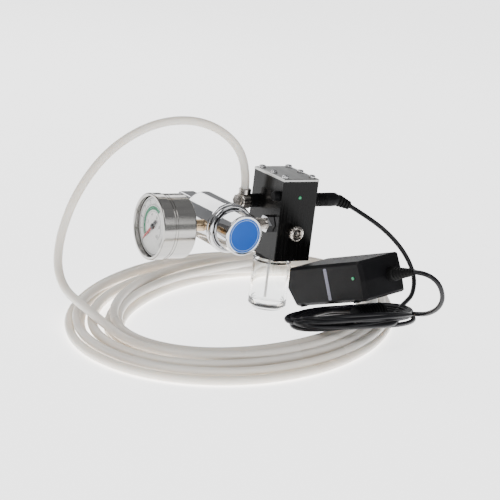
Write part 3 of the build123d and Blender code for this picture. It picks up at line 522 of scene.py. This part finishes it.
def turned_shape(name, profile, frame_matrix, material, steps=64, ripple=None):
    """A solid turned round Z from (radius, height) points; ripple changes a radius by angle."""
    def build(shape):
        rings = []
        for radius, height in profile:
            if radius == 0.0:
                rings.append([shape.verts.new(frame_matrix @ Vector((0.0, 0.0, height * MM)))])
                continue
            ring = []
            for step in range(steps):
                angle = 2.0 * pi * step / steps
                reach = radius + (ripple(radius, height, angle) if ripple else 0.0)
                ring.append(shape.verts.new(
                    frame_matrix @ Vector((reach * cos(angle) * MM, reach * sin(angle) * MM, height * MM))))
            rings.append(ring)
        for low, high in zip(rings, rings[1:]):
            for step in range(steps):
                after = (step + 1) % steps
                if len(low) == 1:
                    shape.faces.new((low[0], high[step], high[after]))
                elif len(high) == 1:
                    shape.faces.new((low[step], high[0], low[after]))
                else:
                    shape.faces.new((low[step], high[step], high[after], low[after]))
        if len(rings[0]) > 1 and profile[0] == profile[-1]:
            bmesh.ops.remove_doubles(shape, verts=shape.verts[:], dist=1e-7)
        bmesh.ops.recalc_face_normals(shape, faces=shape.faces[:])

    piece = add_mesh(name, build, material)
    piece.data.set_sharp_from_angle(angle=radians(35.0))
    return piece


def flat_shape(name, outlines, frame_matrix, thickness, material):
    """Flat prints or plates: each closed outline, in millimetres, becomes a thin slab."""
    def build(shape):
        for outline in outlines:
            low, high = (
                [shape.verts.new(frame_matrix @ Vector((x * MM, y * MM, level * MM))) for x, y in outline]
                for level in (0.0, thickness)
            )
            shape.faces.new(high)
            shape.faces.new(low[::-1])
            count = len(outline)
            for index in range(count):
                after = (index + 1) % count
                shape.faces.new((low[index], low[after], high[after], high[index]))
        bmesh.ops.recalc_face_normals(shape, faces=shape.faces[:])

    return add_mesh(name, build, material, smooth=False)


def band(name, inner, outer, first, last, frame_matrix, thickness, material, steps=72):
    """One closed ring or arc of print, as a single slab."""
    whole = abs(last - first) >= 360.0

    def build(shape):
        count = steps if whole else steps + 1
        rows = []
        for step in range(count):
            angle = radians(first + (last - first) * step / steps)
            rows.append([
                shape.verts.new(frame_matrix @ Vector((r * cos(angle) * MM, r * sin(angle) * MM, h * MM)))
                for r, h in ((inner, 0.0), (outer, 0.0), (outer, thickness), (inner, thickness))
            ])
        for index in range(steps):
            here, after = rows[index], rows[(index + 1) % count]
            for corner in range(4):
                following = (corner + 1) % 4
                shape.faces.new((here[corner], here[following], after[following], after[corner]))
        if not whole:
            shape.faces.new(rows[0])
            shape.faces.new(rows[-1][::-1])
        bmesh.ops.recalc_face_normals(shape, faces=shape.faces[:])

    return add_mesh(name, build, material, smooth=False)


def number_mesh(name, numbers, frame_matrix, height, thickness, material):
    """Upright numerals, each a (text, x, y) in millimetres, as one thin mesh."""
    shape = bmesh.new()
    for text, x, y in numbers:
        curve = bpy.data.curves.new("numeral", "FONT")
        curve.body = text
        curve.size = height * MM
        curve.align_x = "CENTER"
        curve.align_y = "CENTER"
        curve.extrude = thickness * MM / 2
        curve.resolution_u = 3
        probe = add_object("numeral", curve)
        flat = bpy.data.meshes.new_from_object(probe)
        flat.transform(frame_matrix @ Matrix.Translation((x * MM, y * MM, thickness * MM / 2)))
        shape.from_mesh(flat)
        bpy.data.objects.remove(probe)
        bpy.data.meshes.remove(flat)
    bmesh.ops.remove_doubles(shape, verts=shape.verts[:], dist=1e-7)
    mesh = bpy.data.meshes.new(name)
    shape.to_mesh(mesh)
    shape.free()
    mesh.materials.append(material)
    return add_object(name, mesh)


black_ink = moulding("black_ink", (0.01, 0.01, 0.01), (0.02, 0.02, 0.02), 0.4, 0.5, 700.0, 0.000002)
green_ink = moulding("green_ink", (0.004, 0.16, 0.07), (0.006, 0.20, 0.09), 0.4, 0.5, 700.0, 0.000002)
pale_ink = moulding("pale_ink", (0.30, 0.48, 0.80), (0.36, 0.55, 0.86), 0.35, 0.45, 700.0, 0.000002)
stripe_ink = moulding("stripe_ink", (0.09, 0.09, 0.14), (0.14, 0.14, 0.20), 0.25, 0.4, 500.0, 0.000002)

# ---- gauge: dial print, pointer and hub
dial_low, dial_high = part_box("gauge_dial")
gauge_y = (dial_low[1] + dial_high[1]) / 2 / MM
gauge_z = (dial_low[2] + dial_high[2]) / 2 / MM
dial_front = dial_low[0] / MM
PRINT = 0.06
# the dial is read looking along +X, with -Y to the reader's right
dial_frame = axis_frame((dial_front, gauge_y, gauge_z), (-1.0, 0.0, 0.0), (0.0, -1.0, 0.0))


def make_dial():
    """Scale print: rims, a green arc, ticks and numerals, over a sweep of 270 degrees."""
    pieces = [
        band("dial_rim", 20.7, 21.0, 0.0, 360.0, dial_frame, PRINT, black_ink, 96),
        band("scale_line", 15.9, 16.25, 225.0, -45.0, dial_frame, PRINT, black_ink, 96),
        band("green_arc", 12.3, 15.2, 225.0, 60.0, dial_frame, PRINT, green_ink, 72),
        band("inner_line", 11.2, 11.45, 225.0, -45.0, dial_frame, PRINT, black_ink, 96),
    ]
    ticks = []
    for step in range(51):
        angle = radians(225.0 - 270.0 * step / 50)
        long_tick = step % 5 == 0
        inner, outer = 16.2, 18.6 if long_tick else 17.4
        half = 0.16 if long_tick else 0.08
        along, across = Vector((cos(angle), sin(angle))), Vector((-sin(angle), cos(angle)))
        corners = (along * inner - across * half, along * outer - across * half,
                   along * outer + across * half, along * inner + across * half)
        ticks.append([(corner.x, corner.y) for corner in corners])
    pieces.append(flat_shape("dial_ticks", ticks, dial_frame, PRINT, black_ink))
    numbers = []
    for index in range(6):
        angle = radians(225.0 - 54.0 * index)
        numbers.append((str(index * 2), 8.9 * cos(angle), 8.9 * sin(angle)))
    for index in range(11):
        angle = radians(225.0 - 27.0 * index)
        numbers.append((str(index * 30), 19.6 * cos(angle), 19.6 * sin(angle)))
    inner_numbers, outer_numbers = numbers[:6], numbers[6:]
    pieces.append(number_mesh("inner_numbers", inner_numbers, dial_frame, 3.6, PRINT, black_ink))
    pieces.append(number_mesh("outer_numbers", outer_numbers, dial_frame, 1.7, PRINT, black_ink))
    for piece in pieces:
        place_piece(piece, "regulator", "dial")


make_dial()

# ---- pointer: a tapered red hand with a black tail, hub and cap
pointer_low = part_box("gauge_pointer")[0]
HAND_SETBACK = 0.5      # behind the CAD pointer's front
HAND_THICKNESS = 0.35
TAIL_THICKNESS = 0.38
ZERO_TURN = 225.0
pointer_frame = axis_frame((pointer_low[0] / MM + HAND_SETBACK, gauge_y, gauge_z),
                           (-1.0, 0.0, 0.0), (0.0, -1.0, 0.0))


def rotated(outline, degrees):
    """An outline turned about its origin."""
    turn = radians(degrees)
    return [(x * cos(turn) - y * sin(turn), x * sin(turn) + y * cos(turn)) for x, y in outline]


def make_pointer():
    """The pointer's pieces, which replace the CAD pointer and turn with its body."""
    hand = [(-1.0, 1.0), (-1.0, -1.0), (11.0, -0.85), (17.5, -0.15), (17.5, 0.15), (11.0, 0.85)]
    tail = [(1.5, 0.8), (1.5, -0.8), (-5.5, -1.5), (-7.0, -1.2), (-7.0, 1.2), (-5.5, 1.5)]
    place_piece(
        flat_shape("pointer_hand", [rotated(hand, ZERO_TURN)], pointer_frame, HAND_THICKNESS, red_enamel),
        "pointer", "red", "gauge_pointer")
    place_piece(
        flat_shape("pointer_tail", [rotated(tail, ZERO_TURN)], pointer_frame, TAIL_THICKNESS, black_ink),
        "pointer", "black_plastic")
    hub = [
        (0.0, -2.4), (0.8, -2.4), (0.8, -0.1), (2.1, -0.1), (2.3, 0.1), (2.3, 0.45), (1.9, 0.7),
        (0.0, 0.78),
    ]
    place_piece(turned_shape("pointer_hub", hub, pointer_frame, black_ink, 32), "pointer", "black_plastic")


make_pointer()

# ---- pressure knob: rings on its disc, and the flared bonnet behind it
disc_low, disc_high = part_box("knob_disc")
knob_x = (disc_low[0] + disc_high[0]) / 2 / MM
knob_z = (disc_low[2] + disc_high[2]) / 2 / MM
disc_frame = axis_frame((knob_x, disc_low[1] / MM, knob_z), (0.0, -1.0, 0.0), (1.0, 0.0, 0.0))
for ring_name, inner, outer in (("disc_ring", 11.5, 11.85), ("disc_rim", 12.9, 13.35)):
    place_piece(band(ring_name, inner, outer, 0.0, 360.0, disc_frame, PRINT, pale_ink, 96), "knob", "blue")


def make_bonnet():
    """The bonnet's skirt swells round the knob; the neck inside is as in the CAD model."""
    low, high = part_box("bonnet")
    front, back = low[1] / MM, high[1] / MM
    lip, floor_of_recess = back - 7.0, back - 3.2
    skirt = [(16.0, lip), (16.4, lip - 0.25)]
    for step in range(9):
        angle = radians(-75.0 + 150.0 * step / 8)
        skirt.append((16.9 + 2.15 * cos(angle), lip + 2.4 + 2.7 * sin(angle)))
    skirt += [(18.3, back - 1.5), (18.6, back - 1.1), (18.6, back)]
    profile = [
        (3.0, front), (11.4, front), (12.4, front + 1.0), (12.4, floor_of_recess), (15.9, floor_of_recess),
    ]
    profile += skirt + [(10.0, back), (10.0, front + 3.0), (3.0, front + 3.0), (3.0, front)]
    frame_matrix = axis_frame((knob_x, 0.0, knob_z), (0.0, 1.0, 0.0), (1.0, 0.0, 0.0))
    place_piece(turned_shape("bonnet_skirt", profile, frame_matrix, chrome, 96),
                "regulator", "chrome", "bonnet")


make_bonnet()

# ---- metering knob with flutes and a hex socket
grip_low, grip_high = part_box("metering_knob")
grip_x = (grip_low[0] + grip_high[0]) / 2 / MM
grip_z = (grip_low[2] + grip_high[2]) / 2 / MM
grip_frame = axis_frame((grip_x, grip_high[1] / MM, grip_z), (0.0, -1.0, 0.0), (1.0, 0.0, 0.0))


def flutes(radius, height, angle):
    """Eighteen shallow flutes on the knob's widest stretch."""
    return 0.28 * cos(18.0 * angle) if radius > 5.6 else 0.0


def hex_socket(radius, height, angle):
    """The innermost stretch is six-sided."""
    if radius > 2.0:
        return 0.0
    sector = (angle + pi / 6) % (pi / 3) - pi / 6
    return radius * (cos(pi / 6) / cos(sector) - 0.93)


def grip_ripple(radius, height, angle):
    return flutes(radius, height, angle) + hex_socket(radius, height, angle)


grip_profile = [
    (1.55, 0.0), (5.0, 0.0), (5.3, 0.2), (5.72, 0.6), (5.72, 4.0), (5.3, 4.5), (4.6, 4.95), (4.1, 5.2),
    (3.4, 5.2),
    (3.1, 4.9), (3.0, 4.2), (1.85, 4.2), (1.85, 2.7), (1.55, 2.7), (1.55, 0.0),
]
place_piece(turned_shape("metering_grip", grip_profile, grip_frame, nickel, 144, grip_ripple),
            "metering", "nickel", "metering_knob")

# ---- union threads, ferrite ribs, plug and adapter trim
union_low, union_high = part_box("union_nut")
union_y = (union_low[1] + union_high[1]) / 2 / MM
union_z = (union_low[2] + union_high[2]) / 2 / MM
thread_frame = axis_frame((union_low[0] / MM, union_y, union_z), (-1.0, 0.0, 0.0), (0.0, 1.0, 0.0))
thread_profile = [(3.9, 0.0)]
for ridge in range(9):
    start = 0.4 + 1.1 * ridge
    thread_profile += [(4.02, start), (4.5, start + 0.4), (4.5, start + 0.6), (4.02, start + 1.0)]
thread_profile += [(3.9, 10.6), (3.9, 0.0)]
place_piece(turned_shape("union_threads", thread_profile, thread_frame, nickel, 48), "regulator", "nickel")
flange_profile = [(3.9, 10.7), (6.4, 10.7), (6.9, 11.2), (6.9, 13.3), (6.4, 13.8), (3.9, 13.8), (3.9, 10.7)]
place_piece(turned_shape("union_flange", flange_profile, thread_frame, nickel, 48), "regulator", "nickel")

bead_centre = middle("ferrite_bead") / MM
BEAD_TURN = radians(12.0)
bead_frame = axis_frame(bead_centre, (cos(BEAD_TURN), sin(BEAD_TURN), 0.0), (0.0, 0.0, 1.0))
bead_profile = [(0.0, -15.0), (4.6, -15.0), (5.6, -14.4)]
for ridge in range(9):
    start = -13.4 + 3.0 * ridge
    bead_profile += [
        (5.7, start), (6.45, start + 0.35), (6.5, start + 1.0), (6.45, start + 1.7), (5.7, start + 2.1),
    ]
bead_profile += [(5.6, 14.4), (4.6, 15.0), (0.0, 15.0)]
ferrite = place_piece(turned_shape("bead_ribbed", bead_profile, bead_frame, black_plastic, 40),
                      "regulator", "black_plastic", "ferrite_bead")

plug_low, plug_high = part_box("dc_plug")
plug_y = (plug_low[1] + plug_high[1]) / 2 / MM
plug_z = (plug_low[2] + plug_high[2]) / 2 / MM
plug_end = plug_high[0] / MM
plug_frame = axis_frame((plug_end - 28.0, plug_y, plug_z), (1.0, 0.0, 0.0), (0.0, 0.0, 1.0))
plug_profile = [(0.0, 0.0), (4.7, 0.0), (5.2, 0.5), (5.2, 5.0), (4.9, 5.3), (4.9, 6.0), (5.3, 6.4)]
for ridge in range(6):
    start = 7.0 + 1.5 * ridge
    plug_profile += [(5.4, start), (5.4, start + 0.8), (5.05, start + 1.05), (5.05, start + 1.25)]
plug_profile += [(5.4, 16.2), (5.5, 22.0), (5.3, 26.0), (4.6, 27.4), (3.6, 28.0), (0.0, 28.0)]
plug_grip = place_piece(turned_shape("plug_grip", plug_profile, plug_frame, black_plastic, 48),
                        "regulator", "black_plastic", "dc_plug")

# ---- adapter trim, in its own frame: long runs from the mains inlet to the cable, up is out of the top
adapter_long = Vector((0.1314, -0.9346, 0.3305)).normalized()
adapter_up = Vector((-0.1663, 0.3079, 0.9368)).normalized()
adapter_side = adapter_up.cross(adapter_long)
adapter_centre = Vector((19.5, -71.5, 42.4))
ADAPTER_HALF_WIDTH = 21.0
ADAPTER_HALF_HEIGHT = 15.0
RELIEF_LENGTH = 24.0
side_frame = axis_frame(adapter_centre - adapter_side * ADAPTER_HALF_WIDTH, -adapter_side, adapter_long)
under_frame = axis_frame(adapter_centre - adapter_up * ADAPTER_HALF_HEIGHT, -adapter_up, adapter_long)


def rounded_outline(x, y, width, height, corner, steps=5):
    """A rounded rectangle about a centre."""
    outline = []
    for quarter, (sx, sy) in enumerate(((1, 1), (-1, 1), (-1, -1), (1, -1))):
        for step in range(steps + 1):
            angle = radians(90.0 * quarter + 90.0 * step / steps)
            outline.append((x + sx * (width / 2 - corner) + corner * cos(angle),
                            y + sy * (height / 2 - corner) + corner * sin(angle)))
    return outline


relief_frame = axis_frame(Vector(tail_tip) - adapter_long * RELIEF_LENGTH, adapter_long, adapter_up)
relief_profile = [(0.0, -6.0), (3.2, -6.0), (3.2, 0.0), (5.2, 0.0), (5.2, 4.4), (4.6, 5.0)]
for ridge in range(6):
    start = 5.0 + 2.9 * ridge
    reach = 4.7 - 0.36 * ridge
    relief_profile += [
        (reach - 0.7, start + 0.3), (reach, start + 0.8), (reach, start + 2.0), (reach - 0.7, start + 2.4),
    ]
relief_profile += [(2.6, 22.6), (2.4, RELIEF_LENGTH), (0.0, RELIEF_LENGTH)]
relief = place_piece(turned_shape("relief_ribbed", relief_profile, relief_frame, rubber, 40),
                     "regulator", "rubber", "adapter_relief")
stripe = rounded_outline(4.5, 0.0, 3.4, 24.0, 0.8)
place_piece(flat_shape("adapter_stripe", [stripe], side_frame, 0.12, stripe_ink),
            "regulator", "black_plastic")
label = rounded_outline(-4.0, 0.0, 56.0, 30.0, 2.0)
place_piece(flat_shape("adapter_label", [label], under_frame, 0.1, stripe_ink),
            "regulator", "black_plastic")
foot_profile = [(0.0, 0.0), (3.2, 0.0), (3.2, 0.35), (2.7, 0.7), (0.0, 0.7)]
foot_places = [(along, across) for across in (-17.5, 17.5) for along in (-30.0, 30.0)]
for number, (along, across) in enumerate(foot_places, start=1):
    foot_frame = under_frame @ Matrix.Translation((along * MM, across * MM, 0.0))
    place_piece(turned_shape(f"adapter_foot_{number}", foot_profile, foot_frame, rubber, 24),
                "regulator", "rubber")

# ---- inlet washer, and softened edges on the CAD nodes that stay in view
inlet_frame = axis_frame((knob_x, 40.0, knob_z), (0.0, 1.0, 0.0), (1.0, 0.0, 0.0))
washer_profile = [(3.2, 0.0), (7.8, 0.0), (8.2, 0.3), (8.2, 1.4), (7.8, 1.8), (3.2, 1.8), (3.2, 0.0)]
place_piece(turned_shape("inlet_washer", washer_profile, inlet_frame, dial_print, 48), "regulator", "dial")

edge_widths = {
    "valve_block": 0.35, "top_plate": 0.25, "adapter_upper_case": 0.45, "adapter_lower_case": 0.45,
    "union_nut": 0.35, "inlet_nut": 0.35, "elbow_cap": 0.3, "needle_bush": 0.2, "gauge_stem": 0.25,
    "elbow_collar": 0.3, "service_plug": 0.3,
}
for node, width in edge_widths.items():
    bevel = nodes[node].modifiers.new("soft_edge", "BEVEL")
    bevel.width = width * MM
    bevel.segments = 2
    bevel.limit_method = "ANGLE"
    bevel.angle_limit = radians(32.0)

# ---------------------------------------------------------------- whole scene
make_camera()
make_stage()
finish_cad_nodes()
hose, hose_points = make_hose()
cable, cable_points = make_cable()
hose_length = spline_length(hose)
cable_length = spline_length(cable)
print(f"hose {hose_length:.3f} m, cable {cable_length:.3f} m")
